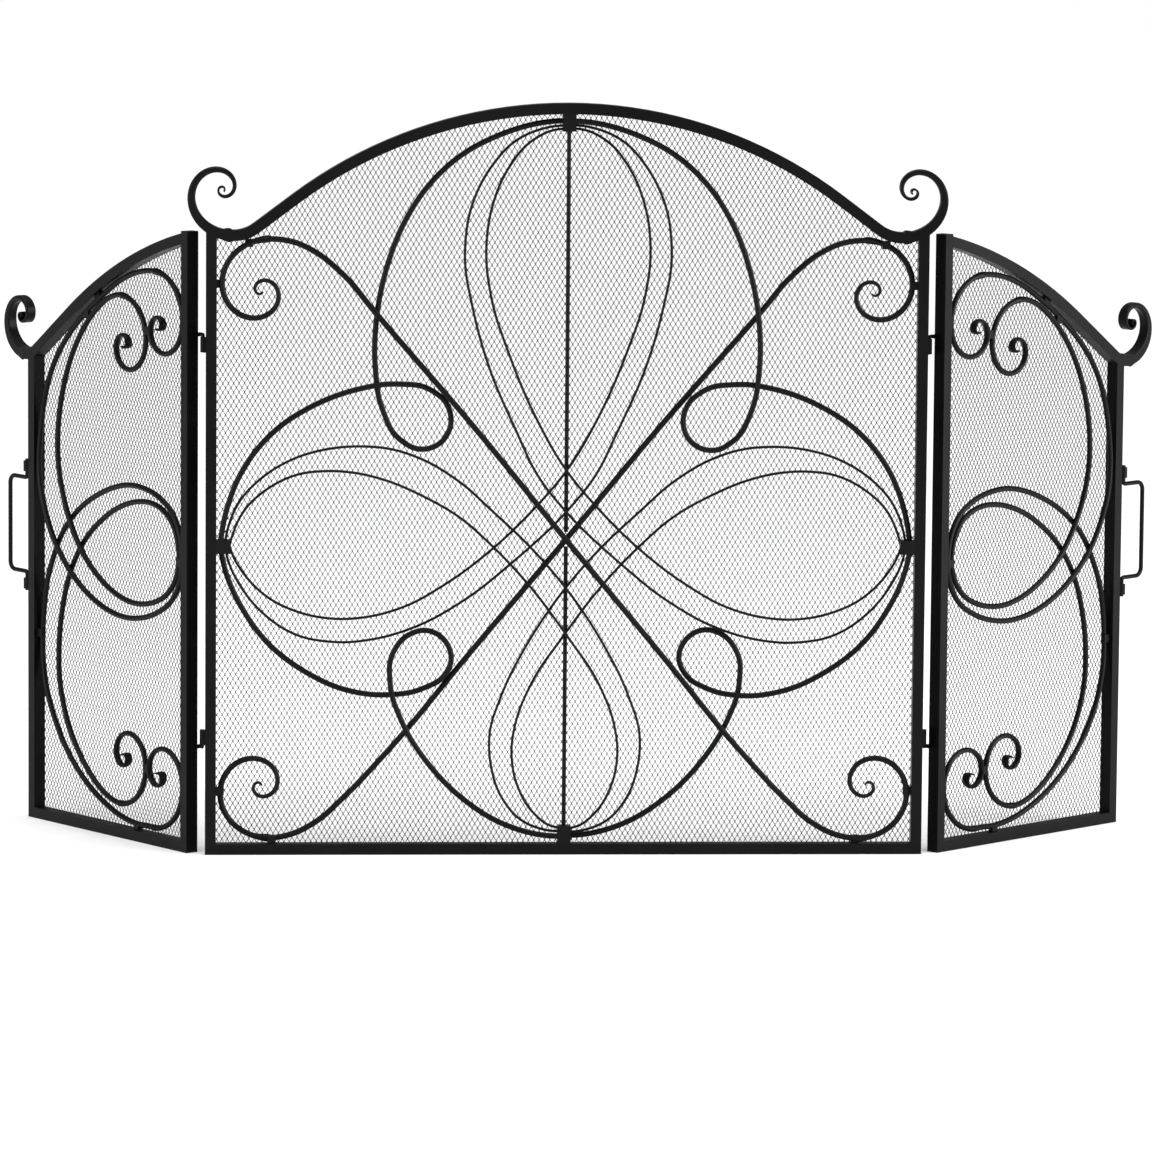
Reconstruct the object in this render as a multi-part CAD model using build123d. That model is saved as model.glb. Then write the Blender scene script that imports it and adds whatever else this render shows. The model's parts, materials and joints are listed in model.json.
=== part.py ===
"""Three-panel folding fireplace screen in wrought bar, scroll rod and wire mesh.

Millimetres.  X runs along the centre panel, Y runs from the front to the back and Z is up.
The origin is on the floor, under the middle of the centre panel's bottom rail.
Each side panel is drawn in line with the centre panel, on the +X side, and is then mirrored
and turned about its hinge line to the angle at which the screen stands.
"""
from build123d import *
from math import atan2, cos, degrees, hypot, radians, sin, sqrt
import os

# ---------------------------------------------------------------- panel sizes
CENTRE_WIDTH = 800.0        # outside to outside of the centre stiles
SHOULDER_HEIGHT = 690.5     # centre line of the top rail where it dips over a stile
ARCH_RISE = 141.5           # from that dip up to the crown's centre line
CENTRE_DIP_INSET = 30.0     # dip's distance in from the stile's outside face
SIDE_WIDTH = 313.0          # outside to outside of a side panel's stiles
SIDE_HINGE_DROP = 2.5       # side rail's start at the hinge stile, below the centre rail's dip
SIDE_FALL = 156.0           # from there down to the side rail's own dip
SIDE_DIP_OUTSET = 7.0       # dip's distance out from the outer stile's outside face

# ---------------------------------------------------------------- bars and rods
BAR = 12.0                  # frame bar, across the panel's plane
BAR_DEPTH = 15.0            # frame bar, front to back
DIAGONAL_ROD = 6.5          # diameters
LOOP_ROD = 6.3
UPRIGHT_ROD = 4.7
PETAL_WIRE = 3.0
SIDE_ROD = 6.3
HANDLE_ROD = 5.0
MESH_THICKNESS = 1.0
LAYER_GAP = 0.1             # rods that cross pass each other at this distance
SCROLL_TIP = 2.0            # a scroll's tip, across the curl
SCROLL_TIP_DEPTH = 12.5     # and front to back, where it is hammered wide
DIAGONAL_TIP_DEPTH = 9.0    # the same for the diagonals, whose rear one lies close to the mesh
FINIAL_TIP = 1.8
FINIAL_TIP_DEPTH = 15.0
FINIAL_NECK_DEPTH = 12.5    # front to back, where the finial is slimmest

# ---------------------------------------------------------------- curves of the rails
CENTRE_DIP_RADIUS = 42.5
CENTRE_ROUNDNESS = 0.98     # share of the largest arc that meets the dip
SIDE_DIP_RADIUS = 36.0
SIDE_ROUNDNESS = 0.94
SIDE_START_SLOPE = 12.4     # degrees below level at the hinge stile
CENTRE_FINIAL_RADIUS = 52.0
SIDE_FINIAL_RADIUS = 44.5
FINIAL_SWEEP = 700.0        # degrees

# ---------------------------------------------------------------- hinges
HINGE_AXIS_OUT = 3.0        # hinge line, out from the centre stile's outside face
HINGE_AXIS_BACK = 2.6       # and behind the bars' back face
HINGE_STILE_OUT = 5.5       # side stile's end face, out from the hinge line
BARREL_DIAMETER = 6.0
PIN_DIAMETER = 4.0
PIN_CLEARANCE = 0.06        # radial
BARREL_LENGTH = 17.0
BARREL_LEAF_DEPTH = 6.0
LINK_GAP = 0.5              # link's distance from the barrel's end
UPPER_BARREL_BASE = 560.0
LOWER_BARREL_BASE = 121.5
LEFT_FOLD = 55.0            # degrees, each side panel behind the centre panel's plane
RIGHT_FOLD = 43.0

# ---------------------------------------------------------------- handles
HANDLE_MIDDLE = 336.5       # height of the handle's middle
HANDLE_LENGTH = 108.0       # between the arms' centre lines
HANDLE_REACH = 34.5         # from the lugs' axis to the grip's centre line
HANDLE_CORNER = 9.0
HANDLE_ELBOW = 4.0
HANDLE_TAIL = 21.5          # upright end beyond each arm
LUG_LENGTH = 12.0
LUG_FORWARD = 5.0           # lug's axis, in front of the bars' middle plane
LUG_DIAMETER = 9.0
LUG_CLEARANCE = 0.08        # radial
LUG_OUT = 5.0               # lug's axis, out from the outer stile
LUG_FROM_ARM = 7.4          # lug's near end, from the arm's centre line

# ---------------------------------------------------------------- collars and tabs
COLLAR_LENGTH = 15.0
COLLAR_MARGIN = 1.2         # metal outside the rods that a collar wraps
TAB_LENGTH = 9.0
TAB_DEPTH = 6.0

# ---------------------------------------------------------------- derived places
HALF = CENTRE_WIDTH / 2
INNER_HALF = HALF - BAR
FRONT = -BAR_DEPTH / 2
BACK = BAR_DEPTH / 2
CROWN = SHOULDER_HEIGHT + ARCH_RISE
SIDE_HINGE_HEIGHT = SHOULDER_HEIGHT - SIDE_HINGE_DROP
SIDE_DIP_HEIGHT = SIDE_HINGE_HEIGHT - SIDE_FALL
DIP_X = HALF - CENTRE_DIP_INSET
SIDE_DIP = SIDE_WIDTH + SIDE_DIP_OUTSET
SIDE_INNER = SIDE_WIDTH - BAR
HINGE_X = HALF + HINGE_AXIS_OUT
HINGE_Y = BACK + HINGE_AXIS_BACK
SIDE_X = HINGE_X + HINGE_STILE_OUT      # end face of the right side panel, unfolded
MID = -0.5                              # plane in which a lone rod lies
FRONT_LAYER = MID - DIAGONAL_ROD / 2
BACK_LAYER = MID + LAYER_GAP + DIAGONAL_ROD / 2
FRONT_WIRE = MID - PETAL_WIRE / 2
BACK_WIRE = MID + LAYER_GAP + PETAL_WIRE / 2
UPRIGHT_LAYER = BACK_WIRE + PETAL_WIRE / 2 + LAYER_GAP + UPRIGHT_ROD / 2
SIDE_FRONT_LAYER = MID - SIDE_ROD / 2
SIDE_BACK_LAYER = MID + LAYER_GAP + SIDE_ROD / 2
MIDDLE_Z = BAR + (SHOULDER_HEIGHT - BAR) * 0.5025

# The scroll work is drawn for this opening, and is stretched to the real one.
DRAWN_HALF = 388.0
DRAWN_BASE = 12.0
DRAWN_SHOULDER = 690.5
DRAWN_CROWN = 832.0
DRAWN_SIDE = 313.0
DRAWN_SIDE_HINGE = 688.0
DRAWN_SIDE_DIP = 532.0


def centre_point(x, z):
    """Place a drawn point of the centre panel's scroll work in the real opening."""
    if z <= DRAWN_SHOULDER:
        share = (z - DRAWN_BASE) / (DRAWN_SHOULDER - DRAWN_BASE)
        height = BAR + share * (SHOULDER_HEIGHT - BAR)
    else:
        share = (z - DRAWN_SHOULDER) / (DRAWN_CROWN - DRAWN_SHOULDER)
        height = SHOULDER_HEIGHT + share * ARCH_RISE
    return x * INNER_HALF / DRAWN_HALF, height


def side_point(w, z):
    """Place a drawn point of a side panel's scroll work in the real opening."""
    share = (w - DRAWN_BASE) / (DRAWN_SIDE - 2 * DRAWN_BASE)
    drawn = DRAWN_SIDE_HINGE + share * (DRAWN_SIDE_DIP - DRAWN_SIDE_HINGE) - DRAWN_BASE
    real = SIDE_HINGE_HEIGHT + share * (SIDE_DIP_HEIGHT - SIDE_HINGE_HEIGHT) - BAR
    out = BAR + share * (SIDE_WIDTH - 2 * BAR)
    return SIDE_X + out, BAR + (z - DRAWN_BASE) * real / drawn


# ---------------------------------------------------------------- curve helpers
def smooth(share):
    """Ease from 0 to 1 with level ends."""
    share = max(0.0, min(1.0, share))
    return share * share * (3 - 2 * share)


class Spiral:
    """A curl that winds in from a start radius to its eye."""

    def __init__(self, eye, start_radius, end_radius, start_angle, sweep, power, depth, tip_depth):
        self.eye = eye
        self.start_radius = start_radius
        self.end_radius = end_radius
        self.start_angle = start_angle
        self.sweep = sweep
        self.power = power
        self.depth = depth
        self.tip_depth = tip_depth

    def point(self, share):
        """Return the point at a share of the sweep, from 0 at the start to 1 at the tip."""
        span = self.start_radius - self.end_radius
        radius = self.end_radius + span * (1 - share) ** self.power
        angle = radians(self.start_angle + self.sweep * share)
        depth = self.depth + (self.tip_depth - self.depth) * smooth(share * 3)
        x = self.eye[0] + radius * cos(angle)
        z = self.eye[1] + radius * sin(angle)
        return Vector(x, depth, z)

    def heading(self, share):
        """Return the unit direction of travel towards the tip."""
        step = 1e-4
        before = self.point(max(0.0, share - step))
        after = self.point(min(1.0, share + step))
        return (after - before).normalized()


def spiral_from(start, heading, start_radius, end_radius, sweep, power, depth, tip_depth):
    """Return the spiral that leaves a point in a given direction, in degrees above +X."""
    shrink = power * (start_radius - end_radius) / radians(abs(sweep))
    lead = degrees(atan2(shrink, start_radius))
    turn = 1 if sweep > 0 else -1
    angle = heading - turn * (90 + lead)
    eye_x = start[0] - start_radius * cos(radians(angle))
    eye_z = start[1] - start_radius * sin(radians(angle))
    return Spiral((eye_x, eye_z), start_radius, end_radius, angle, sweep, power, depth, tip_depth)


def curl(spiral, sections, profile):
    """Loft a tapering bar along a spiral, with profile(share) as each section's face."""
    faces = []
    for index in range(sections + 1):
        share = index / sections
        across = spiral.heading(share).cross(Vector(0, 1, 0))
        plane = Plane(origin=spiral.point(share), x_dir=across, z_dir=spiral.heading(share))
        faces.append(plane * profile(share))
    return loft(faces)


def biarc(start, start_heading, end, end_heading):
    """Join two points with two tangent arcs that keep both headings."""
    chord = end - start
    both = start_heading + end_heading
    spread = 2 * (1 - start_heading.dot(end_heading))
    reach = chord.dot(both)
    if spread < 1e-9:
        length = chord.dot(chord) / (4 * chord.dot(end_heading))
    else:
        length = (-reach + sqrt(reach * reach + spread * chord.dot(chord))) / spread
    first = start + start_heading * length
    last = end - end_heading * length
    middle = (first + last) * 0.5
    heading = (last - first).normalized()
    return tangent_edge(start, start_heading, middle) + tangent_edge(middle, heading, end)


def tangent_edge(start, heading, end):
    """Return one arc, or a line where the points are in line with the heading."""
    chord = (end - start).normalized()
    if chord.cross(heading).length < 1e-4:
        return [Edge.make_line(start, end)]
    return [Edge.make_tangent_arc(start, heading, end)]


def headings(points, first=None, last=None):
    """Return a heading at each point: that of the circle through its neighbours."""
    result = []
    for index in range(len(points)):
        if index == 0 or index == len(points) - 1:
            result.append(None)
            continue
        before = points[index] - points[index - 1]
        after = points[index + 1] - points[index]
        blend = before * (after.length / before.length) + after * (before.length / after.length)
        result.append(blend.normalized())
    start_chord = (points[1] - points[0]).normalized()
    end_chord = (points[-1] - points[-2]).normalized()
    inner_first = result[1] if len(points) > 2 else start_chord
    inner_last = result[-2] if len(points) > 2 else end_chord
    result[0] = first or (start_chord * (2 * start_chord.dot(inner_first)) - inner_first)
    result[-1] = last or (end_chord * (2 * end_chord.dot(inner_last)) - inner_last)
    return result


def rod(points, diameter, first=None, last=None):
    """Sweep a round rod along tangent arcs through the points."""
    directions = headings(points, first, last)
    edges = []
    for index in range(len(points) - 1):
        edges += biarc(points[index], directions[index], points[index + 1], directions[index + 1])
    path = Wire(edges)
    section = Plane(origin=points[0], z_dir=directions[0]) * Circle(diameter / 2)
    return sweep(section, path=path)


def scroll_profile(diameter, tip_depth):
    """Return the section of a rod that is hammered thin and wide towards its tip."""
    def profile(share):
        taper = max(0.0, (share - 0.25) / 0.75)
        across = diameter + (SCROLL_TIP - diameter) * taper
        deep = diameter + (tip_depth - diameter) * taper
        return Ellipse(across / 2, deep / 2)
    return profile


def finial_profile(share):
    """Return a finial's section, from the full bar down to its wide thin tip."""
    across = FINIAL_TIP + (BAR - FINIAL_TIP) * (1 - share) ** 2.8
    neck = max(0.0, 1 - share / 0.25)
    flare = max(0.0, (share - 0.25) / 0.75)
    deep = FINIAL_NECK_DEPTH + (BAR_DEPTH - FINIAL_NECK_DEPTH) * neck * neck
    deep = deep + (FINIAL_TIP_DEPTH - FINIAL_NECK_DEPTH) * flare
    corner = min(across, deep) * (0.08 + 0.34 * smooth(share * 4))
    return RectangleRounded(across, deep, corner)


def box(x_range, y_range, z_range):
    """Return a box between two places on each axis."""
    size = [high - low for low, high in (x_range, y_range, z_range)]
    middle = [(high + low) / 2 for low, high in (x_range, y_range, z_range)]
    return Pos(*middle) * Box(*size)


# ---------------------------------------------------------------- rails
def ogee(start, slope, dip, dip_radius, roundness):
    """Return the edges of an S-shaped rail from its high end down to the dip."""
    down = Vector(-sin(radians(slope)), 0, -cos(radians(slope)))
    dip_centre = dip + Vector(0, 0, dip_radius)
    offset = dip_centre - start
    limit = (offset.dot(offset) - dip_radius ** 2) / (2 * (offset.dot(down) + dip_radius))
    radius = limit * roundness
    arc_centre = start + down * radius
    line = dip_centre - arc_centre
    lean = degrees(atan2(line.Z, line.X))
    steep = degrees(atan2(radius + dip_radius, sqrt(line.length ** 2 - (radius + dip_radius) ** 2)))
    fall = radians(steep - lean)
    arc_end = arc_centre + Vector(sin(fall), 0, cos(fall)) * radius
    dip_start = dip_centre - Vector(sin(fall), 0, cos(fall)) * dip_radius
    heading = Vector(cos(radians(slope)), 0, -sin(radians(slope)))
    straight = (dip_start - arc_end).normalized()
    edges = [
        Edge.make_tangent_arc(start, heading, arc_end),
        Edge.make_line(arc_end, dip_start),
        Edge.make_tangent_arc(dip_start, straight, dip),
    ]
    return edges


def bar_along(edges, start, heading):
    """Sweep the frame bar's section along edges in the panel's plane."""
    across = heading.cross(Vector(0, 1, 0))
    section = Plane(origin=start, x_dir=across, z_dir=heading) * Rectangle(BAR, BAR_DEPTH)
    return sweep(section, path=Wire(edges))


def mesh_plate(edges, low_x, high_x, low_z):
    """Return the mesh backing under a rail's centre line, on the bars' back faces."""
    path = Wire(edges)
    ends = sorted([path @ 0, path @ 1], key=lambda point: point.X)
    left, right = ends
    outline = [
        Edge.make_line(Vector(low_x, 0, low_z), Vector(high_x, 0, low_z)),
    ]
    corners = [Vector(high_x, 0, low_z), Vector(high_x, 0, right.Z), right]
    if abs(high_x - right.X) < 1e-6:
        corners = corners[:2]
    for first, second in zip(corners, corners[1:]):
        outline.append(Edge.make_line(first, second))
    corners = [Vector(low_x, 0, low_z), Vector(low_x, 0, left.Z), left]
    if abs(low_x - left.X) < 1e-6:
        corners = corners[:2]
    for first, second in zip(corners, corners[1:]):
        outline.append(Edge.make_line(first, second))
    face = Face(Wire(outline + list(edges)))
    flat = Pos(0, BACK, 0) * face
    return extrude(flat, amount=MESH_THICKNESS, dir=(0, 1, 0))


def finial(dip, radius):
    """Return the finial that carries a rail's line on past its dip, towards +X."""
    start = (dip.X, dip.Z)
    spiral = spiral_from(start, 0, radius, 2.5, FINIAL_SWEEP, 3.04, 0.0, 0.0)
    return curl(spiral, 38, finial_profile)


# ---------------------------------------------------------------- centre scroll work
TOP_DIAGONAL = [(-303, 683.5), (-280, 673), (-250, 649), (-212, 604.5), (-100, 475)]
BOTTOM_DIAGONAL = [(-302, 22.5), (-277, 35.5), (-245, 64), (-200, 112), (-100, 233)]
CROSSING = (0, 353)
TOP_LOOP = [
    (7.5, 818.5), (-30, 816), (-75, 803), (-120, 779), (-155, 746), (-183, 702), (-202, 650),
    (-212, 595), (-213, 548), (-205, 499), (-187, 466), (-162, 453.5), (-141, 460),
    (-129.5, 478), (-133, 503), (-152, 520), (-190, 526.5), (-235, 520), (-280, 503),
    (-325, 473), (-357, 434), (-377, 385), (-384, 337.5),
]
BOTTOM_LOOP = [
    (7.5, 20), (-30, 22.5), (-72, 36), (-115, 64), (-152, 102), (-180, 146), (-194.5, 190),
    (-192, 226), (-175, 246.5), (-153, 251.5), (-134, 240), (-127, 220), (-135, 201),
    (-160, 185.5), (-200, 178.5), (-245, 184.5), (-290, 205), (-330, 236), (-360, 277),
    (-377, 315), (-384, 352.5),
]
TOP_OUTER_WIRE = [
    (7.5, 813.4), (-22, 811.5), (-58, 797), (-87, 766), (-107, 725), (-114.5, 675), (-103, 600),
    (-85, 540), (-59, 480), (-29, 420), (0, 384), (60, 327), (110, 287), (165, 256), (210, 242),
    (255, 238), (300, 246.5), (338, 272), (362, 302), (375, 330), (379, 352.5),
]
TOP_INNER_WIRE = [
    (7.5, 809.6), (-18, 808), (-43, 795), (-67, 766), (-84, 726), (-91, 675), (-84, 618),
    (-65, 560), (-36, 492), (0, 430), (38, 385), (80, 344), (130, 305.5), (180, 277.5),
    (220, 266.3), (255, 264), (295, 271), (330, 287.5), (356, 312.5), (370, 336), (374.8, 352.5),
]
BOTTOM_OUTER_WIRE = [
    (7.5, 25.3), (-20, 26.5), (-48, 38), (-70, 64), (-82, 100), (-83.5, 135), (-70, 180),
    (-40, 240), (0, 299), (40, 345), (80, 383), (120, 418.5), (160, 442.5), (195, 454),
    (230, 457), (265, 454), (305, 442), (340, 420), (362, 396), (375, 366), (379, 337.5),
]
BOTTOM_INNER_WIRE = [
    (7.5, 29.2), (-14, 31), (-36, 48), (-52, 76), (-59, 115), (-54, 150), (-38, 190.5), (0, 248),
    (40, 301), (80, 344), (120, 379), (160, 402), (200, 419), (235, 427.5), (265, 429.5),
    (300, 425), (333, 408.5), (356, 387), (369.5, 360), (374.8, 337.5),
]
TOP_EYE_IN = 48.5           # scroll eyes, in from the stile
TOP_EYE_DOWN = 61.5         # below the rail's dip
BOTTOM_EYE_UP = 65.0        # above the bottom rail


def panel_points(drawn, place, side, depth):
    """Place drawn points, mirrored to a side, with depth(index) as each point's Y."""
    result = []
    for index, (x, z) in enumerate(drawn):
        across, height = place(x, z)
        result.append(Vector(-side * across, depth(index), height))
    return result


def mirrored(spiral, side):
    """Mirror a spiral drawn on the left to the given side."""
    if side < 0:
        return spiral
    eye = (-spiral.eye[0], spiral.eye[1])
    return Spiral(eye, spiral.start_radius, spiral.end_radius, 180 - spiral.start_angle,
                  -spiral.sweep, spiral.power, spiral.depth, spiral.tip_depth)


def diagonal(side, layer):
    """Return the diagonal that starts at the top on the given side."""
    top_eye = (-INNER_HALF + TOP_EYE_IN, SHOULDER_HEIGHT - TOP_EYE_DOWN)
    bottom_eye = (-INNER_HALF + TOP_EYE_IN, BAR + BOTTOM_EYE_UP)
    top = mirrored(Spiral(top_eye, 59, 2.5, 79, 620, 2.05, layer, MID), side)
    bottom = mirrored(Spiral(bottom_eye, 61, 2.5, 284, -640, 2.12, layer, MID), -side)
    middle = panel_points(TOP_DIAGONAL, centre_point, side, lambda index: layer)
    middle += panel_points([CROSSING], centre_point, side, lambda index: layer)
    tail = panel_points(BOTTOM_DIAGONAL, centre_point, -side, lambda index: layer)
    points = [top.point(0)] + middle + tail[::-1] + [bottom.point(0)]
    straight = rod(points, DIAGONAL_ROD, top.heading(0) * -1, bottom.heading(0))
    profile = scroll_profile(DIAGONAL_ROD, DIAGONAL_TIP_DEPTH)
    return straight + curl(top, 32, profile) + curl(bottom, 32, profile)


def swap_layers(near, far, first, last):
    """Return a depth that moves from one layer to another between two points of a list."""
    def depth(index):
        return near + (far - near) * smooth((index - first) / (last - first))
    return depth


def loop(drawn, side, near, far, first, last):
    """Return one corner loop, which passes over itself by changing layer."""
    points = panel_points(drawn, centre_point, side, swap_layers(near, far, first, last))
    level = Vector(side, 0, 0)
    return rod(points, LOOP_ROD, level, None)


def petal_wire(drawn, side, layer):
    """Return one thin wire from the top or bottom collar to a side collar."""
    points = panel_points(drawn, centre_point, side, lambda index: layer)
    return rod(points, PETAL_WIRE, Vector(side, 0, 0), None)


def upright(low, high):
    """Return a length of the upright rod."""
    length = high - low
    middle = (high + low) / 2
    return Pos(0, UPRIGHT_LAYER, middle) * Cylinder(UPRIGHT_ROD / 2, length)


# ---------------------------------------------------------------- side scroll work
OUTER_ROD = [
    (105, 641), (135, 631), (165, 615), (195, 596), (220, 578), (243, 558), (262, 537),
    (278.5, 511), (289, 484), (295, 454), (297, 420), (293, 384), (283, 355), (264, 322),
    (240, 297), (213, 277.5), (183, 263), (152, 254), (122, 251), (92, 254), (62, 263.5),
    (38, 278), (22.5, 300), (18.6, 327), (24, 354), (38, 375), (62, 390), (90, 398),
    (125, 400), (155, 394.5), (184, 384.5), (212, 371), (238, 353), (258, 333), (275, 306),
    (288, 277), (295, 245), (297, 213), (293, 177), (282.5, 143), (265, 111), (243, 83.5),
    (220, 63), (195, 46.5), (168, 33.5), (138, 23.5), (108, 18.8),
]
INNER_ROD = [
    (160, 608.5), (182, 596), (201, 580.5), (217, 563), (231, 543.5), (243, 521.5),
    (251.5, 500), (257.5, 475), (259.5, 447), (258, 418), (252, 389), (242, 364), (229, 341),
    (214, 321), (197, 305), (175, 290), (155, 280), (133, 272.7), (110, 269), (88, 270),
    (67, 275), (48, 284.5), (33.5, 300), (26.2, 322), (30, 347), (43, 367.5), (62, 379),
    (85, 384), (108, 383), (134, 377), (158, 367.5), (180, 355), (203, 338.5), (220, 322),
    (235, 302), (248, 278), (257.5, 250), (263.5, 222), (264.5, 197), (261.5, 170),
    (253.5, 141), (241, 113.5), (224, 89), (204, 68.5), (182, 52), (160, 41.5),
]
OUTER_TOP = ((62, 583), 63, 3, 78, 600, 2.25)
OUTER_BOTTOM = ((61.5, 79), 62, 3, 284, -600, 2.0)
INNER_TOP = ((129, 558), 56, 3, 79, 600, 2.1)
INNER_BOTTOM = ((128.5, 92), 56, 3, 284, -610, 2.13)


def side_spiral(drawn):
    """Place a drawn curl of the right side panel."""
    eye, start, end, angle, sweep_angle, power = drawn
    return Spiral(side_point(*eye), start, end, angle, sweep_angle, power, MID, MID)


def crossing_depth(near, far, turn_first, turn_last):
    """Return a depth that leaves the middle plane only for the part that crosses.

    near and far are the first and last points of that part, and the layer changes
    between turn_first and turn_last, round the loop.
    """
    def depth(index):
        leave = smooth((index - near) / 3)
        back = smooth((far - index) / 3)
        layer = SIDE_FRONT_LAYER + (SIDE_BACK_LAYER - SIDE_FRONT_LAYER) * smooth(
            (index - turn_first) / (turn_last - turn_first))
        return MID + (layer - MID) * min(leave, back)
    return depth


def side_rod(drawn, top_drawn, bottom_drawn, depth):
    """Return one scroll rod of the right side panel, with a curl at each end."""
    top = side_spiral(top_drawn)
    bottom = side_spiral(bottom_drawn)
    points = []
    for index, (w, z) in enumerate(drawn):
        across, height = side_point(w, z)
        points.append(Vector(across, depth(index), height))
    points = [top.point(0)] + points + [bottom.point(0)]
    body = rod(points, SIDE_ROD, top.heading(0) * -1, bottom.heading(0))
    profile = scroll_profile(SIDE_ROD, SCROLL_TIP_DEPTH)
    return body + curl(top, 32, profile) + curl(bottom, 32, profile)


# ---------------------------------------------------------------- centre panel
def centre_panel():
    """Return the centre panel's pieces by name."""
    pieces = {}
    crown = Vector(0, 0, CROWN)
    dip = Vector(DIP_X, 0, SHOULDER_HEIGHT)
    half_rail = ogee(crown, 0, dip, CENTRE_DIP_RADIUS, CENTRE_ROUNDNESS)
    right_half = bar_along(half_rail, crown, Vector(1, 0, 0))
    left_half = right_half.mirror(Plane.YZ)
    pieces["top_rail"] = right_half + left_half
    right_finial = finial(dip, CENTRE_FINIAL_RADIUS)
    pieces["finial_right"] = right_finial
    pieces["finial_left"] = right_finial.mirror(Plane.YZ)
    stile = box((INNER_HALF, HALF), (FRONT, BACK), (0, SHOULDER_HEIGHT + BAR / 2))
    pieces["stile_right"] = stile - right_finial
    pieces["stile_left"] = pieces["stile_right"].mirror(Plane.YZ)
    pieces["bottom_rail"] = box((-INNER_HALF, INNER_HALF), (FRONT, BACK), (0, BAR))
    mirror_rail = [edge.mirror(Plane.YZ) for edge in half_rail]
    pieces["mesh_centre"] = mesh_plate(half_rail + mirror_rail, BAR / 2 - HALF, HALF - BAR / 2, BAR / 2)

    turn = Axis((0, (FRONT_LAYER + BACK_LAYER) / 2, 0), (0, 0, 1))
    pieces["diagonal_left"] = diagonal(-1, FRONT_LAYER)
    pieces["diagonal_right"] = pieces["diagonal_left"].rotate(turn, 180)
    pieces["loop_top_left"] = loop(TOP_LOOP, -1, BACK_LAYER, FRONT_LAYER, 14, 17)
    pieces["loop_top_right"] = loop(TOP_LOOP, 1, FRONT_LAYER, BACK_LAYER, 14, 17)
    pieces["loop_bottom_left"] = loop(BOTTOM_LOOP, -1, FRONT_LAYER, BACK_LAYER, 12, 14)
    pieces["loop_bottom_right"] = loop(BOTTOM_LOOP, 1, BACK_LAYER, FRONT_LAYER, 12, 14)
    wires = {
        "top_outer": TOP_OUTER_WIRE,
        "top_inner": TOP_INNER_WIRE,
        "bottom_outer": BOTTOM_OUTER_WIRE,
        "bottom_inner": BOTTOM_INNER_WIRE,
    }
    for name, drawn in wires.items():
        falling = name.startswith("top")
        left_layer = FRONT_WIRE if falling else BACK_WIRE
        right_layer = BACK_WIRE if falling else FRONT_WIRE
        pieces[f"wire_{name}_left"] = petal_wire(drawn, -1, left_layer)
        pieces[f"wire_{name}_right"] = petal_wire(drawn, 1, right_layer)

    crossing_x, crossing_z = centre_point(*CROSSING)
    slope = (centre_point(*TOP_DIAGONAL[-1])[1] - crossing_z) / centre_point(100, 0)[0]
    clear = (DIAGONAL_ROD / 2 + LAYER_GAP) * hypot(1, slope) + slope * UPRIGHT_ROD / 2
    below_loops = LOOP_ROD / 2 + LAYER_GAP
    top_end = centre_point(*TOP_LOOP[0])[1] - below_loops
    bottom_end = centre_point(*BOTTOM_LOOP[0])[1] + below_loops
    pieces["upright_upper"] = upright(crossing_z + clear, top_end)
    pieces["upright_lower"] = upright(bottom_end, crossing_z - clear)

    rods = [pieces[name] for name in pieces if name.split("_")[0] in ("loop", "wire", "upright")]
    frame = [pieces[name] for name in ("top_rail", "stile_left", "stile_right")]
    front = FRONT_LAYER - LOOP_ROD / 2 - COLLAR_MARGIN / 2
    back = min(BACK, UPRIGHT_LAYER + UPRIGHT_ROD / 2 + COLLAR_MARGIN)
    half_collar = COLLAR_LENGTH / 2
    wire_reach = PETAL_WIRE / 2 + COLLAR_MARGIN
    top_low = centre_point(0, TOP_INNER_WIRE[0][1])[1] - wire_reach
    bottom_high = centre_point(0, BOTTOM_INNER_WIRE[0][1])[1] + wire_reach
    side_in = centre_point(TOP_INNER_WIRE[-1][0], 0)[0] - wire_reach
    side_low = centre_point(0, TOP_LOOP[-1][1])[1]
    side_high = centre_point(0, BOTTOM_LOOP[-1][1])[1]
    blocks = {
        "collar_top": box((-half_collar, half_collar), (front, back), (top_low, CROWN)),
        "collar_bottom": box((-half_collar, half_collar), (front, back), (BAR, bottom_high)),
        "collar_right": box((side_in, INNER_HALF), (front, back), (side_low, side_high)),
        "collar_left": box((-INNER_HALF, -side_in), (front, back), (side_low, side_high)),
    }
    for name, block in blocks.items():
        collar = block
        for other in rods + frame:
            collar = collar - other
        pieces[name] = largest(collar)
    pieces["weld_tabs_centre"] = centre_tabs(pieces)
    return pieces


def largest(shape):
    """Return the largest solid of a cut shape."""
    return max(shape.solids(), key=lambda solid: solid.volume)


def tab(x, z, others):
    """Return a small weld tab about a point, cut to fit what it joins."""
    half = TAB_LENGTH / 2
    block = box((x - half, x + half), (MID - TAB_DEPTH / 2, MID + TAB_DEPTH / 2), (z - half, z + half))
    for other in others:
        block = block - other
    return largest(block)


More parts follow.
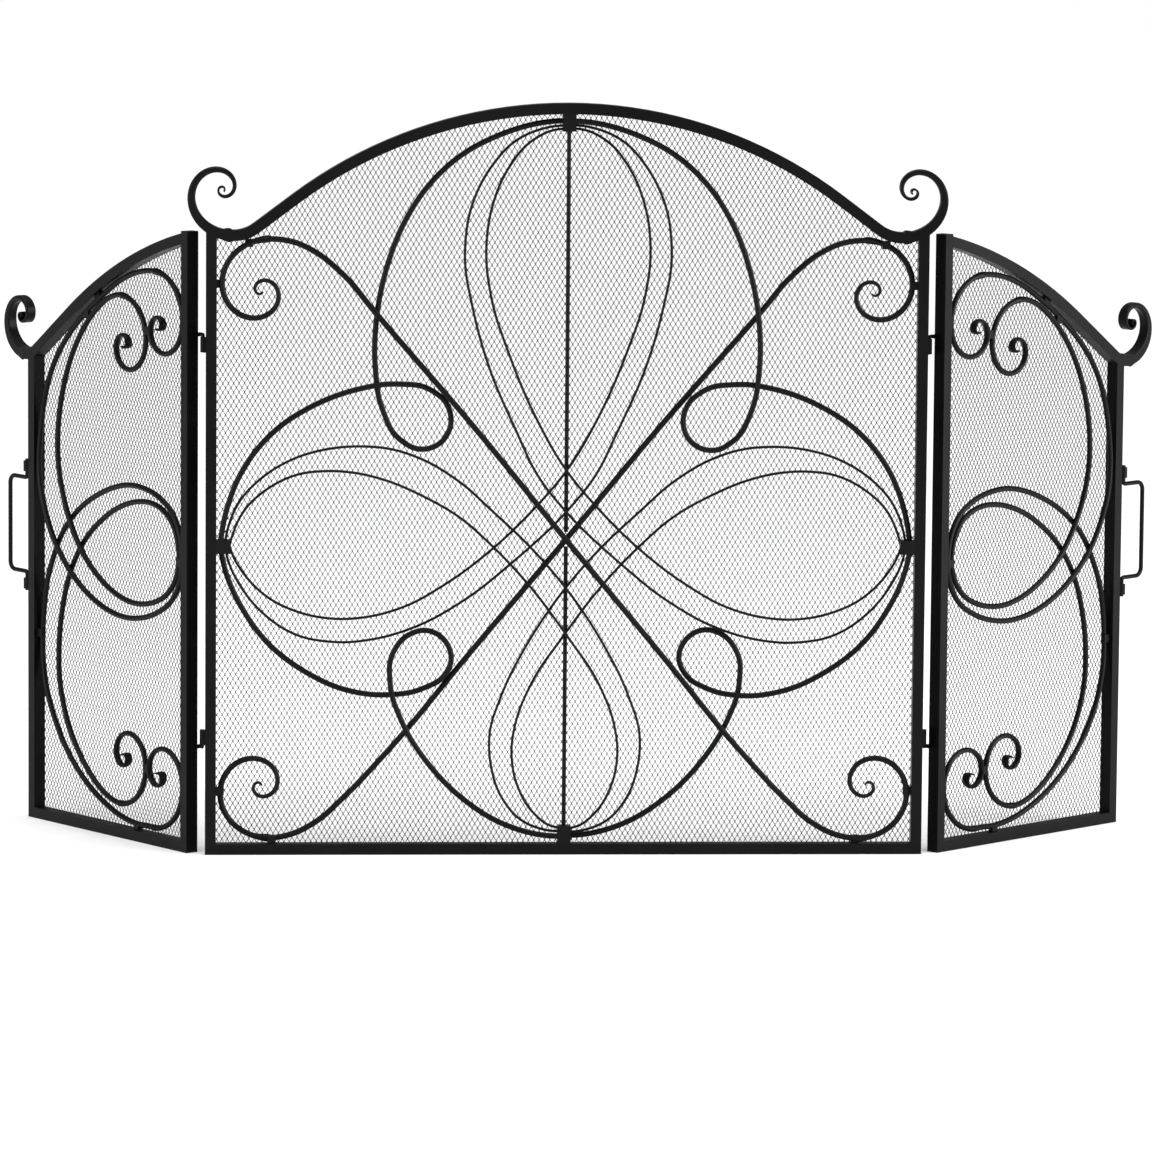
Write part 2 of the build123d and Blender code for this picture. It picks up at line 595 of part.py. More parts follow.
def centre_tabs(pieces):
    """Return the tabs that tie the diagonals' curls to the frame."""
    tabs = []
    for side, top_name, bottom_name in ((-1, "left", "right"), (1, "right", "left")):
        top_curl = pieces[f"diagonal_{top_name}"]
        bottom_curl = pieces[f"diagonal_{bottom_name}"]
        stile = pieces[f"stile_{'left' if side < 0 else 'right'}"]
        rail = pieces["top_rail"]
        edge = INNER_HALF - TAB_LENGTH / 2
        eye = INNER_HALF - TOP_EYE_IN
        top_eye = SHOULDER_HEIGHT - TOP_EYE_DOWN
        bottom_eye = BAR + BOTTOM_EYE_UP
        rail_z = SHOULDER_HEIGHT - BAR / 2 - TAB_LENGTH / 4
        tabs.append(tab(side * (eye + 13), rail_z, [top_curl, rail]))
        tabs.append(tab(side * edge, top_eye + 8, [top_curl, stile]))
        tabs.append(tab(side * edge, bottom_eye - 6, [bottom_curl, stile]))
        tabs.append(tab(side * (eye - 14), BAR + TAB_LENGTH / 2, [bottom_curl]))
    return Compound(tabs)


# ---------------------------------------------------------------- side panel
def side_panel():
    """Return the right side panel's pieces, in line with the centre panel."""
    pieces = {}
    high = Vector(SIDE_X, 0, SIDE_HINGE_HEIGHT)
    dip = Vector(SIDE_X + SIDE_DIP, 0, SIDE_DIP_HEIGHT)
    rail_edges = ogee(high, SIDE_START_SLOPE, dip, SIDE_DIP_RADIUS, SIDE_ROUNDNESS)
    slope = radians(SIDE_START_SLOPE)
    full_rail = bar_along(rail_edges, high, Vector(cos(slope), 0, -sin(slope)))
    over = 4 * BAR
    hinge_stile = box((SIDE_X, SIDE_X + BAR), (FRONT, BACK), (0, SIDE_HINGE_HEIGHT + BAR / 2))
    beyond = box((SIDE_X - over, SIDE_X + BAR), (FRONT - 1, BACK + 1), (0, 2 * SIDE_HINGE_HEIGHT))
    pieces["hinge_stile"] = hinge_stile
    rail = largest(full_rail - beyond)
    pieces["top_rail"] = rail
    curl_end = finial(dip, SIDE_FINIAL_RADIUS)
    pieces["finial"] = curl_end
    outer_low = SIDE_X + SIDE_INNER
    outer_stile = box((outer_low, SIDE_X + SIDE_WIDTH), (FRONT, BACK), (0, SIDE_DIP_HEIGHT + BAR))
    outer_stile = outer_stile - rail - curl_end
    pieces["outer_stile"] = min(outer_stile.solids(), key=lambda solid: solid.center().Z)
    pieces["bottom_rail"] = box((SIDE_X + BAR, outer_low), (FRONT, BACK), (0, BAR))
    path = Wire(rail_edges)
    outline_end = SIDE_X + SIDE_WIDTH - BAR / 2
    start = SIDE_X + BAR / 2
    pieces["mesh"] = side_mesh(path, start, outline_end)

    outer_depth = crossing_depth(8, 39, 17, 29)
    inner_depth = crossing_depth(6, 40, 16, 28)
    outer = side_rod(OUTER_ROD, OUTER_TOP, OUTER_BOTTOM, outer_depth)
    inner = side_rod(INNER_ROD, INNER_TOP, INNER_BOTTOM, inner_depth)
    pieces["scroll_outer"] = outer
    pieces["scroll_inner"] = inner
    tabs = [
        tab(*side_point(181, 609), [outer, rail]),
        tab(*side_point(203, 586), [outer, inner]),
        tab(*side_point(83.5, 577), [outer, inner]),
        tab(*side_point(85.5, 84), [outer, inner]),
        tab(*side_point(104, 12 + TAB_LENGTH / 2), [outer]),
        tab(*side_point(301 - TAB_LENGTH / 2, 214), [outer]),
        tab(*side_point(22.4, 324), [outer, inner]),
    ]
    pieces["weld_tabs"] = Compound(tabs)
    pieces["hinge_pins"] = Compound([
        hinge_pin(UPPER_BARREL_BASE + BARREL_LENGTH, -1),
        hinge_pin(LOWER_BARREL_BASE, 1),
    ])
    pieces["handle_lugs"] = Compound([handle_lug(1), handle_lug(-1)])
    pieces["handle"] = handle()
    return pieces


def side_mesh(path, low_x, high_x):
    """Return the side panel's mesh, cut under the rail's centre line."""
    steps = 24
    length = path.length
    curve = []
    for index in range(steps * 4 + 1):
        point = path @ (index / (steps * 4))
        if low_x < point.X < high_x and index % 4 == 0:
            curve.append(point)
    first = ogee_height(path, low_x)
    last = ogee_height(path, high_x)
    top = Edge.make_spline([first] + curve + [last])
    corners = [last, Vector(high_x, 0, BAR / 2), Vector(low_x, 0, BAR / 2), first]
    outline = [top] + [Edge.make_line(a, b) for a, b in zip(corners, corners[1:])]
    return extrude(Pos(0, BACK, 0) * Face(Wire(outline)), amount=MESH_THICKNESS, dir=(0, 1, 0))


def ogee_height(path, x):
    """Return the point of a falling path at a given X."""
    low, high = 0.0, 1.0
    for _ in range(40):
        middle = (low + high) / 2
        if (path @ middle).X < x:
            low = middle
        else:
            high = middle
    return path @ low


def hinge_barrel(base):
    """Return one barrel on the right centre stile, with its leaf and bore."""
    middle = base + BARREL_LENGTH / 2
    leaf = box((HALF, HINGE_X), (HINGE_Y - BARREL_LEAF_DEPTH, HINGE_Y), (base, base + BARREL_LENGTH))
    tube = Pos(HINGE_X, HINGE_Y, middle) * Cylinder(BARREL_DIAMETER / 2, BARREL_LENGTH)
    bore = Pos(HINGE_X, HINGE_Y, middle) * Cylinder(PIN_DIAMETER / 2 + PIN_CLEARANCE, BARREL_LENGTH)
    return tube + leaf - bore


def hinge_pin(end, way):
    """Return one L-shaped pin of the right side panel.

    end is the height of the barrel's mouth, and way is the way the pin points, up or down.
    """
    radius = PIN_DIAMETER / 2
    link_z = end - way * (LINK_GAP + radius)
    tip = end + way * (BARREL_LENGTH - 1)
    middle = (link_z + tip) / 2
    pin = Pos(HINGE_X, HINGE_Y, middle) * Cylinder(radius, abs(tip - link_z))
    elbow = Pos(HINGE_X, HINGE_Y, link_z) * Sphere(radius)
    reach = HINGE_STILE_OUT + 3
    link = Pos(HINGE_X + reach / 2, HINGE_Y, link_z) * Rot(0, 90, 0) * Cylinder(radius, reach)
    low_y = BACK - 2
    foot = box((SIDE_X, SIDE_X + 3), (BACK, HINGE_Y + radius), (link_z - radius, link_z + radius))
    toe = box((SIDE_X - 2, SIDE_X), (low_y, HINGE_Y + radius), (link_z - radius, link_z + radius))
    stile = box((SIDE_X, SIDE_X + BAR), (FRONT, BACK), (0, SIDE_HINGE_HEIGHT))
    return pin + elbow + link + foot + toe - stile


def lug_axis():
    """Return the X of the handle's swing axis on the right side panel."""
    return SIDE_X + SIDE_WIDTH + LUG_OUT


def handle_lug(way):
    """Return the ring lug beyond the upper arm (way 1) or the lower arm (way -1)."""
    near = HANDLE_MIDDLE + way * (HANDLE_LENGTH / 2 + LUG_FROM_ARM)
    far = near + way * LUG_LENGTH
    low, high = min(near, far), max(near, far)
    middle = (low + high) / 2
    ring = Pos(lug_axis(), -LUG_FORWARD, middle) * Cylinder(LUG_DIAMETER / 2, LUG_LENGTH)
    foot = box((SIDE_X + SIDE_WIDTH, lug_axis()), (-LUG_FORWARD, LUG_DIAMETER / 2 - LUG_FORWARD), (low, high))
    bore = Pos(lug_axis(), -LUG_FORWARD, middle) * Cylinder(HANDLE_ROD / 2 + LUG_CLEARANCE, LUG_LENGTH)
    return ring + foot - bore


def handle():
    """Return the right handle: one bent rod whose ends turn in the two lugs."""
    axis = lug_axis()
    grip = axis + HANDLE_REACH
    upper = HANDLE_MIDDLE + HANDLE_LENGTH / 2
    lower = HANDLE_MIDDLE - HANDLE_LENGTH / 2
    depth = -LUG_FORWARD
    corners = [
        (axis, depth, upper + HANDLE_TAIL),
        (axis, depth, upper),
        (grip, depth, upper),
        (grip, depth, lower),
        (axis, depth, lower),
        (axis, depth, lower - HANDLE_TAIL),
    ]
    radii = [HANDLE_ELBOW, HANDLE_CORNER, HANDLE_CORNER, HANDLE_ELBOW]
    path = FilletPolyline(*corners, radius=radii)
    section = Plane(origin=corners[0], z_dir=(0, 0, -1)) * Circle(HANDLE_ROD / 2)
    return sweep(section, path=path)


# ---------------------------------------------------------------- assembly
def folded(shape, side, angle):
    """Turn a right-hand unfolded piece to the given side's fold."""
    placed = shape if side > 0 else shape.mirror(Plane.YZ)
    axis = Axis((side * HINGE_X, HINGE_Y, 0), (0, 0, 1))
    return placed.rotate(axis, side * angle)


def write(name, shape):
    """Write one piece as a STEP file named after it."""
    shape.label = name
    export_step(shape, f"parts/{name}.step")


def main():
    """Build every piece and write it."""
    os.makedirs("parts", exist_ok=True)
    for name, shape in centre_panel().items():
        write(name, shape)
    bases = (UPPER_BARREL_BASE, LOWER_BARREL_BASE)
    barrels = Compound([hinge_barrel(base) for base in bases])
    write("hinge_barrels_right", barrels)
    write("hinge_barrels_left", barrels.mirror(Plane.YZ))
    for name, shape in side_panel().items():
        write(f"right_{name}", folded(shape, 1, RIGHT_FOLD))
        write(f"left_{name}", folded(shape, -1, LEFT_FOLD))


main()
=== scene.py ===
"""Looks of a three-panel folding fireplace screen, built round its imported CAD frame.

The bars, rods and hinges are the frame's own pieces and get finishes and softened edges here.
The three mesh plates are replaced by real expanded metal: slanting strands and their bonds.
Lengths are in metres, in the frame's axes.
"""

from __future__ import annotations

import json
import logging
import math
from dataclasses import dataclass, field
from enum import Enum

import bmesh
import bpy
import numpy as np
from mathutils import Matrix, Vector

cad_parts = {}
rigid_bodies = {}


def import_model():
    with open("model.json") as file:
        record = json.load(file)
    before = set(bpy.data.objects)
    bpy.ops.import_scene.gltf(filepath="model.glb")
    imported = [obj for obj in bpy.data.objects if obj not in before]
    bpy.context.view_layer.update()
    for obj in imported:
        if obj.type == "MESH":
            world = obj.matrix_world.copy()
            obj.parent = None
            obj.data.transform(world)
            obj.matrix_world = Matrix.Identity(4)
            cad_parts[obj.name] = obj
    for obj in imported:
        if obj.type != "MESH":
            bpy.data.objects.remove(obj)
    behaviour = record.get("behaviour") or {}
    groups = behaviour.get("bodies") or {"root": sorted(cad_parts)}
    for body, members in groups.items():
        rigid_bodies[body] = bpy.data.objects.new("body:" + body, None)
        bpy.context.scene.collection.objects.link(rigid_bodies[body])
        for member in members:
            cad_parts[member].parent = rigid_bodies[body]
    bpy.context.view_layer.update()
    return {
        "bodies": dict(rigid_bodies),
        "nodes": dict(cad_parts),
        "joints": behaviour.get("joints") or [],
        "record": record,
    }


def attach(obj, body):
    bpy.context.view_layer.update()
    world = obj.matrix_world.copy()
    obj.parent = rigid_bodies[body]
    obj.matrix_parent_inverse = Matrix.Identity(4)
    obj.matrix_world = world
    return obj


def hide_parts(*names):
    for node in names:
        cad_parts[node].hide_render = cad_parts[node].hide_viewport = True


LOG = logging.getLogger("fire_screen")
FOOT_BAND = 0.01  # vertices this close to a plate's foot belong to its lower edge


def linear(hex_colour: str) -> tuple[float, float, float, float]:
    """Turn an sRGB hex colour into linear RGBA.

    Args:
        hex_colour: Six hex digits, with or without a leading "#".

    Returns:
        The linear colour with an alpha of 1.
    """
    digits = hex_colour.lstrip("#")
    channels = []
    for start in (0, 2, 4):
        value = int(digits[start : start + 2], 16) / 255
        channels.append(value / 12.92 if value <= 0.04045 else ((value + 0.055) / 1.055) ** 2.4)
    return channels[0], channels[1], channels[2], 1.0


def add_node(tree: bpy.types.NodeTree, kind: str, **inputs) -> bpy.types.Node:
    """Add a shader node and fill or link its inputs.

    Args:
        tree: The material's node tree.
        kind: The node's type name.
        **inputs: Socket names, with spaces written as underscores, and a value or output socket.

    Returns:
        The new node.
    """
    node = tree.nodes.new(kind)
    for name, value in inputs.items():
        socket = node.inputs[name.replace("_", " ")]
        if isinstance(value, bpy.types.NodeSocket):
            tree.links.new(value, socket)
        else:
            socket.default_value = value
    return node


class Slot(Enum):
    """The record's material slots."""

    FRAME = "frame"
    SCROLLWORK = "scrollwork"
    MESH = "mesh"
    HARDWARE = "hardware"


@dataclass(frozen=True)
class PowderCoat:
    """Black powder coat: a near-black film with a fine orange peel.

    Attributes:
        name: The material's name.
        dark: Colour where the film is thick.
        light: Colour where it is thin or dusty.
        roughness: Middle roughness.
        specular: Strength of the film's own reflection.
        spread: How far the roughness wanders either way.
        peel: Size of the orange peel's bumps.
        relief: Height of those bumps.
        cloud_scale: Scale of the drift between the two colours.
        patch_scale: Scale of the patches of roughness.
    """

    name: str
    dark: str
    light: str
    roughness: float
    specular: float = 0.09
    spread: float = 0.05
    peel: float = 0.0014
    relief: float = 0.00003
    cloud_scale: float = 9.0
    patch_scale: float = 55.0

    def build(self) -> bpy.types.Material:
        """Make the material.

        Returns:
            A procedural material that reads object coordinates.
        """
        material = bpy.data.materials.new(self.name)
        material.use_nodes = True
        tree = material.node_tree
        tree.nodes.clear()
        place = add_node(tree, "ShaderNodeTexCoord").outputs["Object"]
        cloud = add_node(
            tree, "ShaderNodeTexNoise", Vector=place, Scale=self.cloud_scale, Detail=4.0
        )
        colour = add_node(tree, "ShaderNodeValToRGB", Fac=cloud.outputs["Fac"])
        colour.color_ramp.elements[0].position = 0.35
        colour.color_ramp.elements[0].color = linear(self.dark)
        colour.color_ramp.elements[1].position = 0.7
        colour.color_ramp.elements[1].color = linear(self.light)
        patch = add_node(
            tree, "ShaderNodeTexNoise", Vector=place, Scale=self.patch_scale, Detail=3.0
        )
        rough = add_node(
            tree,
            "ShaderNodeMapRange",
            Value=patch.outputs["Fac"],
            From_Min=0.3,
            From_Max=0.7,
            To_Min=self.roughness - self.spread,
            To_Max=self.roughness + self.spread,
        )
        grain = add_node(
            tree, "ShaderNodeTexNoise", Vector=place, Scale=1 / self.peel, Detail=2.0
        )
        bump = add_node(
            tree,
            "ShaderNodeBump",
            Height=grain.outputs["Fac"],
            Strength=1.0,
            Distance=self.relief,
        )
        surface = add_node(
            tree,
            "ShaderNodeBsdfPrincipled",
            Base_Color=colour.outputs["Color"],
            Roughness=rough.outputs["Result"],
            Specular_IOR_Level=self.specular,
            Normal=bump.outputs["Normal"],
        )
        output = add_node(tree, "ShaderNodeOutputMaterial")
        tree.links.new(surface.outputs["BSDF"], output.inputs["Surface"])
        return material


@dataclass(frozen=True)
class StageFinish:
    """A plain matt finish for the floor.

    Attributes:
        name: The material's name.
        colour: Its colour.
        roughness: Its roughness.
        specular: Strength of its reflection.
    """

    name: str
    colour: str
    roughness: float = 0.9
    specular: float = 0.1

    def build(self) -> bpy.types.Material:
        """Make the material.

        Returns:
            A plain matt material.
        """
        material = bpy.data.materials.new(self.name)
        material.use_nodes = True
        surface = material.node_tree.nodes["Principled BSDF"]
        surface.inputs["Base Color"].default_value = linear(self.colour)
        surface.inputs["Roughness"].default_value = self.roughness
        surface.inputs["Specular IOR Level"].default_value = self.specular
        return material


@dataclass(frozen=True)
class MetalPieces:
    """The frame's own bars, rods and fittings, finished in place.

    Attributes:
        edge: Radius to which the bars' sharp edges are softened.
        fine_edge: The same for hinges, lugs, collars and tabs.
        sharp_deg: Edges that turn more than this are softened.
        segments: Facets round each softened edge.
    """

    edge: float = 0.0009
    fine_edge: float = 0.0004
    sharp_deg: float = 50.0
    segments: int = 2

    def dress(self, frame: dict, finishes: dict[Slot, bpy.types.Material]) -> None:
        """Give every CAD piece its finish and soften the square ones' edges.

        Args:
            finishes: One material for each slot.
        """
        subparts = frame["record"]["subparts"]
        slots = {part["node"]: Slot(part["material_slot"]) for part in subparts}
        for node, obj in frame["nodes"].items():
            slot = slots[node]
            obj.data.materials.clear()
            obj.data.materials.append(finishes[slot])
            if slot is Slot.FRAME:
                self.soften(obj, self.edge)
            elif slot is Slot.HARDWARE or node.startswith("collar") or "tabs" in node:
                self.soften(obj, self.fine_edge)
            LOG.info("dressed %s as %s", node, slot.value)

    def soften(self, obj: bpy.types.Object, width: float) -> None:
        """Round an object's sharp edges.

        Args:
            obj: The piece.
            width: The rounding's radius.
        """
        bevel = obj.modifiers.new("softened edges", "BEVEL")
        bevel.width = width
        bevel.segments = self.segments
        bevel.limit_method = "ANGLE"
        bevel.angle_limit = math.radians(self.sharp_deg)
        bevel.harden_normals = True


@dataclass(frozen=True)
class ExpandedMesh:
    """One panel's expanded metal, in place of its plain CAD plate.

    Attributes:
        node: The CAD node that it stands for.
        body: The body that it moves with.
        pitch_across: Width of one opening, centre to centre.
        pitch_up: Height of one opening, centre to centre.
        shear: Rise of the rows across the panel, per metre.
        strand_width: A strand's width, in the panel's plane.
        strand_depth: Its thickness.
        layer_offset: How far each way's strands lie from the middle plane, as a share of their
            thickness.
        bond_width: Width of the metal left uncut where four openings meet.
        bond_height: Its height.
        bond_thickness: Its half thickness, as a share of a strand's thickness.
        step: Height between the points at which a strand is tested against the outline.
        shortest: Strands of fewer steps than this are left out.
    """

    node: str
    body: str
    pitch_across: float = 0.006
    pitch_up: float = 0.010
    shear: float = 0.0
    strand_width: float = 0.00064
    strand_depth: float = 0.00036
    layer_offset: float = 0.45
    bond_width: float = 0.0013
    bond_height: float = 0.0034
    bond_thickness: float = 1.1
    step: float = 0.0005
    shortest: int = 4

    def build(self, plate: bpy.types.Object, finish: bpy.types.Material) -> bpy.types.Object:
        """Build the strands and bonds inside the plate's outline.

        Args:
            plate: The CAD plate's object.
            finish: The mesh's material.

        Returns:
            The finished piece, riding on its body.
        """
        outline = PlateOutline.read(plate)
        shell = bmesh.new()
        for way in (-1, 1):
            self._strands(shell, outline, way)
        self._bonds(shell, outline)
        data = bpy.data.meshes.new(f"expanded_{self.node}")
        bmesh.ops.recalc_face_normals(shell, faces=shell.faces)
        shell.to_mesh(data)
        shell.free()
        data.materials.append(finish)
        piece = bpy.data.objects.new(f"expanded_{self.node}", data)
        bpy.context.scene.collection.objects.link(piece)
        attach(piece, self.body)
        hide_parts(self.node)
        LOG.info("built %s: %d faces", piece.name, len(data.polygons))
        return piece

    def _strands(self, shell: bmesh.types.BMesh, outline: PlateOutline, way: int) -> None:
        """Add every strand that slants one way, cut at the outline."""
        slope = way * self.pitch_up / self.pitch_across
        depth = outline.middle_depth + way * self.strand_depth * self.layer_offset
        lean = outline.reach / abs(slope)
        low_line = math.floor((outline.low - lean) / self.pitch_across)
        high_line = math.ceil((outline.high + lean) / self.pitch_across)
        heights = np.arange(outline.floor, outline.floor + outline.reach, self.step)
        for line in range(low_line, high_line + 1):
            foot = line * self.pitch_across
            # The rows' shear moves a strand up by shear times its place across.
            across = (heights + slope * foot) / (slope + self.shear)
            inside = outline.holds(across, heights)
            edges = np.flatnonzero(np.diff(np.concatenate(([0], inside.astype(int), [0]))))
            for first, last in zip(edges[::2], edges[1::2] - 1):
                if last - first < self.shortest:
                    continue
                start = (across[first], heights[first])
                end = (across[last], heights[last])
                self._strand(shell, outline, start, end, depth)

    def _strand(
        self,
        shell: bmesh.types.BMesh,
        outline: PlateOutline,
        start: tuple[float, float],
        end: tuple[float, float],
        depth: float,
    ) -> None:
        """Add one flat strand as a four-sided bar."""
        run = Vector((end[0] - start[0], end[1] - start[1])).normalized()
        side = Vector((-run.y, run.x)) * (self.strand_width / 2)
        thick = self.strand_depth / 2
        rings = []
        for across, height in (start, end):
            ring = []
            for wide, deep in ((1, 1), (-1, 1), (-1, -1), (1, -1)):
                corner = (across + wide * side.x, height + wide * side.y)
                ring.append(shell.verts.new(outline.point(*corner, depth + deep * thick)))
            rings.append(ring)
        near, far = rings
        for index in range(4):
            after = (index + 1) % 4
            shell.faces.new((near[index], near[after], far[after], far[index]))
        shell.faces.new(near[::-1])
        shell.faces.new(far)

    def _bonds(self, shell: bmesh.types.BMesh, outline: PlateOutline) -> None:
        """Add the lozenge of uncut metal at every crossing of two strands."""
        half_up = self.pitch_up / 2
        half_across = self.pitch_across / 2
        rows = math.ceil((outline.floor + outline.reach) / half_up) + 2
        low = math.floor(outline.low / half_across)
        high = math.ceil(outline.high / half_across)
        margin = self.bond_height / 2
        for row in range(rows):
            for column in range(low, high + 1):
                if (row + column) % 2:
                    continue
                across = column * half_across
                height = row * half_up + self.shear * across
                ends = np.array([height - margin, height + margin])
                if outline.holds(np.array([across, across]), ends).all():
                    self._bond(shell, outline, across, height)

    def _bond(
        self,
        shell: bmesh.types.BMesh,
        outline: PlateOutline,
        across: float,
        height: float,
    ) -> None:
        """Add one bond as a lozenge that swells to a point at its front and its back."""
        middle = outline.middle_depth
        wide, tall = self.bond_width / 2, self.bond_height / 2
        thick = self.strand_depth * self.bond_thickness
        rim = []
        for right, up in ((wide, 0), (0, tall), (-wide, 0), (0, -tall)):
            rim.append(shell.verts.new(outline.point(across + right, height + up, middle)))
        front = shell.verts.new(outline.point(across, height, middle - thick))
        back = shell.verts.new(outline.point(across, height, middle + thick))
        for index in range(4):
            after = (index + 1) % 4
            shell.faces.new((rim[index], rim[after], front))
            shell.faces.new((rim[after], rim[index], back))


@dataclass(frozen=True)
class PlateOutline:
    """The outline of an upright plate, read from its CAD mesh.

    Attributes:
        along: Unit direction across the panel.
        back: Unit direction out of the panel's back.
        low: Lowest place along the panel.
        high: Highest place along the panel.
        floor: Height of the plate's foot.
        reach: The plate's full height.
        middle_depth: Place of its middle plane along back.
        places: Places along the panel at which the top edge is known.
        tops: Heights of the top edge there.
    """

    along: Vector
    back: Vector
    low: float
    high: float
    floor: float
    reach: float
    middle_depth: float
    places: np.ndarray = field(repr=False)
    tops: np.ndarray = field(repr=False)

    @classmethod
    def read(cls, plate: bpy.types.Object) -> PlateOutline:
        """Read a plate's plane and outline from its vertices.

        Args:
            plate: The CAD plate's object.

        Returns:
            Its outline.
        """
        points = np.array([tuple(vertex.co) for vertex in plate.data.vertices])
        points = points @ np.array(plate.matrix_world.to_3x3()).T
        flat = points[:, :2] - points[:, :2].mean(axis=0)
        _, _, axes = np.linalg.svd(flat, full_matrices=False)
        along = axes[0] if axes[0][0] > 0 else -axes[0]
        back = np.array([-along[1], along[0]])
        run = points[:, :2] @ along
        depth = points[:, :2] @ back
        floor = float(points[:, 2].min())
        upper = points[:, 2] > floor + FOOT_BAND
        order = np.argsort(run[upper])
        places = run[upper][order]
        tops = points[:, 2][upper][order]
        return cls(
            along=Vector((along[0], along[1], 0)),
            back=Vector((back[0], back[1], 0)),
            low=float(run.min()),
            high=float(run.max()),
            floor=floor,
            reach=float(points[:, 2].max()) - floor,
            middle_depth=float((depth.min() + depth.max()) / 2),
            places=places,
            tops=tops,
        )

    def holds(self, across: np.ndarray, heights: np.ndarray) -> np.ndarray:
        """Say which points lie inside the outline.

        Args:
            across: Places along the panel.
            heights: Their heights.

        Returns:
            One truth value for each point.
        """
        top = np.interp(across, self.places, self.tops)
        in_width = (across >= self.low) & (across <= self.high)
        return in_width & (heights >= self.floor) & (heights <= top)

    def point(self, across: float, height: float, depth: float) -> Vector:
        """Return a point of the panel in the frame's axes.

        Args:
            across: Place along the panel.
            height: Height above the floor.
            depth: Place along the panel's back direction.

        Returns:
            The point.
        """
        return self.along * across + self.back * depth + Vector((0, 0, height))


@dataclass(frozen=True)
class Softbox:
    """One large soft lamp.

    Attributes:
        name: The lamp's name.
        place: Where it stands.
        target: What it points at.
        width: Its width.
        height: Its height.
        power: Its power in watts.
    """

    name: str
    place: tuple[float, float, float]
    target: tuple[float, float, float]
    width: float
    height: float
    power: float

    def build(self) -> bpy.types.Object:
        """Make the lamp.

        Returns:
            The lamp's object.
        """
        data = bpy.data.lights.new(self.name, "AREA")
        data.shape = "RECTANGLE"
        data.size = self.width
        data.size_y = self.height
        data.energy = self.power
        lamp = bpy.data.objects.new(self.name, data)
        lamp.location = self.place
        aim = Vector(self.target) - Vector(self.place)
        lamp.rotation_euler = aim.to_track_quat("-Z", "Y").to_euler()
        bpy.context.scene.collection.objects.link(lamp)
        return lamp


@dataclass(frozen=True)
class Studio:
    """A pale floor, a dim surround, a wide overhead light and two soft lamps.

    Attributes:
        floor_half: Half the floor's side.
        floor_colour: Its colour.
        surround: Colour of the light from all round.
        surround_strength: Its strength.
        overhead: Strength of the wide light from above, which whitens the floor.
        overhead_spread_deg: Its angular size; the wider it is, the softer the shadows.
        overhead_tilt_deg: Its lean from straight above towards the front.
        lamps: The soft lamps.
    """

    floor_half: float = 30.0
    floor_colour: str = "#fcfcfc"
    surround: str = "#ffffff"
    surround_strength: float = 0.3
    overhead: float = 2.35
    overhead_spread_deg: float = 60.0
    overhead_tilt_deg: float = 6.0
    lamps: tuple[Softbox, ...] = (
        Softbox("left_softbox", (-4.4, -2.4, 1.6), (-0.4, 0.1, 0.4), 2.4, 2.6, 150.0),
        Softbox("right_softbox", (4.6, -1.5, 1.5), (0.4, 0.1, 0.4), 2.4, 2.6, 260.0),
    )

    def build(self) -> None:
        """Make the floor, the surround and the lamps."""
        shell = bmesh.new()
        bmesh.ops.create_grid(shell, x_segments=1, y_segments=1, size=self.floor_half)
        data = bpy.data.meshes.new("floor")
        shell.to_mesh(data)
        shell.free()
        data.materials.append(StageFinish("pale floor", self.floor_colour).build())
        floor = bpy.data.objects.new("floor", data)
        bpy.context.scene.collection.objects.link(floor)
        world = bpy.data.worlds.new("studio")
        world.use_nodes = True
        background = world.node_tree.nodes["Background"]
        background.inputs["Color"].default_value = linear(self.surround)
        background.inputs["Strength"].default_value = self.surround_strength
        bpy.context.scene.world = world
        sun = bpy.data.lights.new("overhead", "SUN")
        sun.energy = self.overhead
        sun.angle = math.radians(self.overhead_spread_deg)
        overhead = bpy.data.objects.new("overhead", sun)
        overhead.rotation_euler = (math.radians(self.overhead_tilt_deg), 0.0, 0.0)
        bpy.context.scene.collection.objects.link(overhead)
        bpy.context.scene.view_settings.view_transform = "Standard"
        [lamp.build() for lamp in self.lamps]
        LOG.info("built the studio with %d lamps", len(self.lamps))


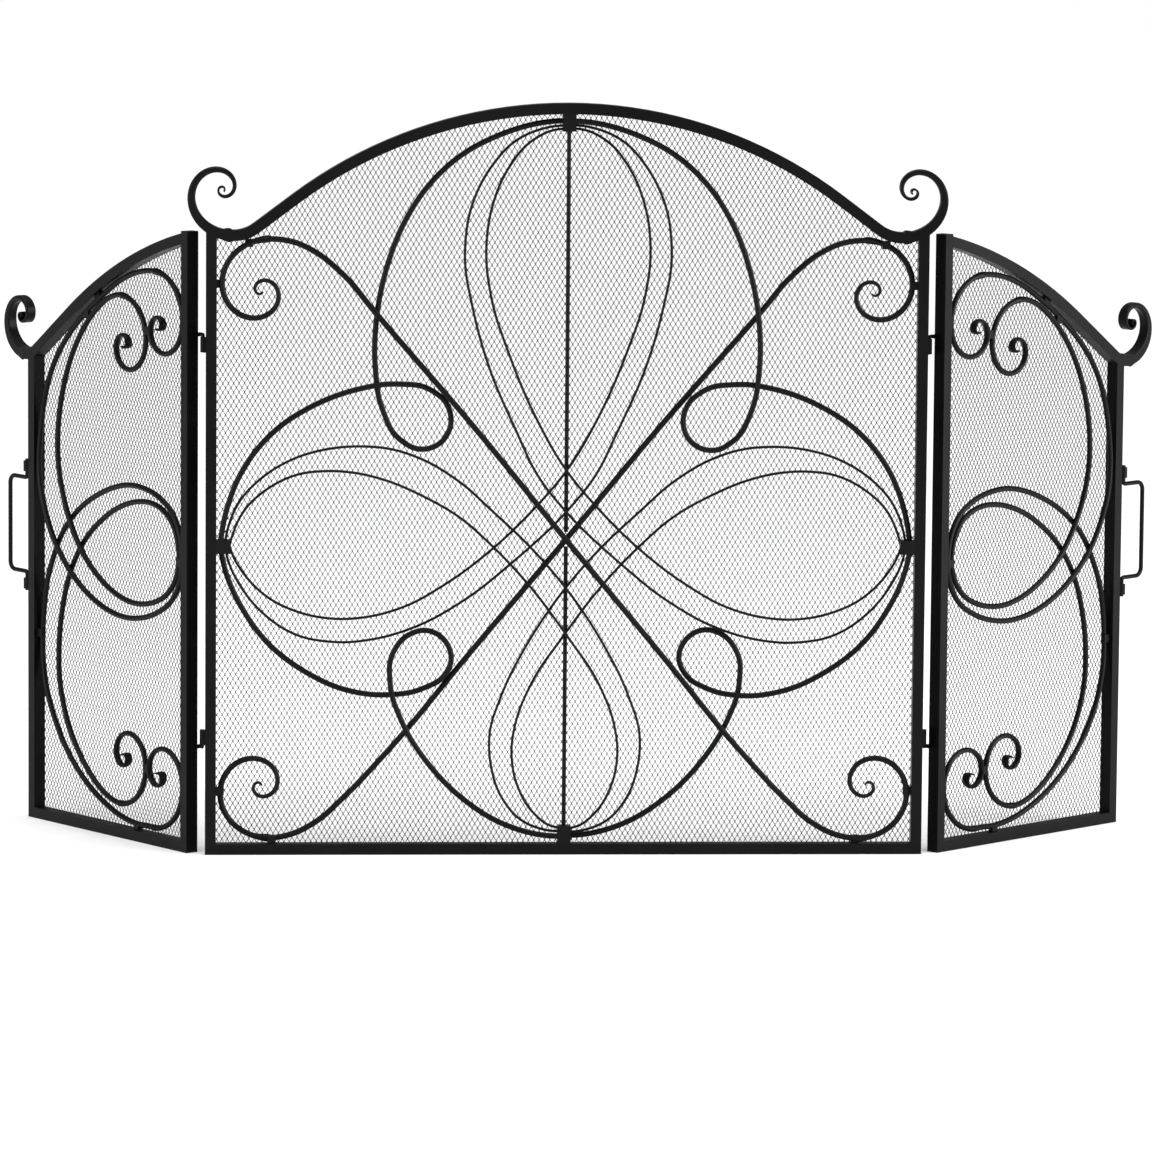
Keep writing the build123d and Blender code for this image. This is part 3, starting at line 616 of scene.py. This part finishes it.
@dataclass(frozen=True)
class LongLens:
    """The camera: a long lens, a little above the screen and to its left.

    Attributes:
        place: Where it stands.
        yaw_deg: Turn to the right of straight ahead, +Y.
        pitch_deg: Tilt above level.
        roll_deg: Turn about its own line of sight.
        focal_mm: Focal length.
        sensor_mm: The sensor's width.
        far: Nothing beyond this distance is drawn.
    """

    place: tuple[float, float, float] = (-0.4606, -8.2042, 1.3813)
    yaw_deg: float = 3.292
    pitch_deg: float = -7.411
    roll_deg: float = 0.48
    focal_mm: float = 233.1
    sensor_mm: float = 36.0
    far: float = 100.0

    def build(self) -> bpy.types.Object:
        """Make the camera and look through it.

        Returns:
            The camera's object.
        """
        data = bpy.data.cameras.new("camera")
        data.lens = self.focal_mm
        data.sensor_width = self.sensor_mm
        data.clip_end = self.far
        camera = bpy.data.objects.new("camera", data)
        turn = Matrix.Rotation(-math.radians(self.yaw_deg), 4, "Z")
        tilt = Matrix.Rotation(math.radians(90 + self.pitch_deg), 4, "X")
        roll = Matrix.Rotation(math.radians(self.roll_deg), 4, "Z")
        camera.matrix_world = Matrix.Translation(self.place) @ turn @ tilt @ roll
        bpy.context.scene.collection.objects.link(camera)
        bpy.context.scene.camera = camera
        return camera


def main() -> None:
    """Build the whole scene."""
    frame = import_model()
    finishes = {
        Slot.FRAME: PowderCoat("bar coat", "#09090a", "#0f0f10", 0.36).build(),
        Slot.SCROLLWORK: PowderCoat("rod coat", "#0c0c0d", "#131314", 0.33).build(),
        Slot.MESH: PowderCoat("mesh coat", "#161617", "#202021", 0.5, relief=0.00001).build(),
        Slot.HARDWARE: PowderCoat("fitting coat", "#09090a", "#0f0f10", 0.34).build(),
    }
    MetalPieces().dress(frame, finishes)
    meshes = (
        ExpandedMesh("mesh_centre", "centre_panel", shear=0.025),
        ExpandedMesh("left_mesh", "left_panel", shear=-0.02),
        ExpandedMesh("right_mesh", "right_panel", shear=-0.02),
    )
    for mesh in meshes:
        mesh.build(frame["nodes"][mesh.node], finishes[Slot.MESH])
    Studio().build()
    LongLens().build()


if __name__ == "__main__":
    logging.basicConfig(level=logging.INFO, format="%(name)s: %(message)s")
    main()
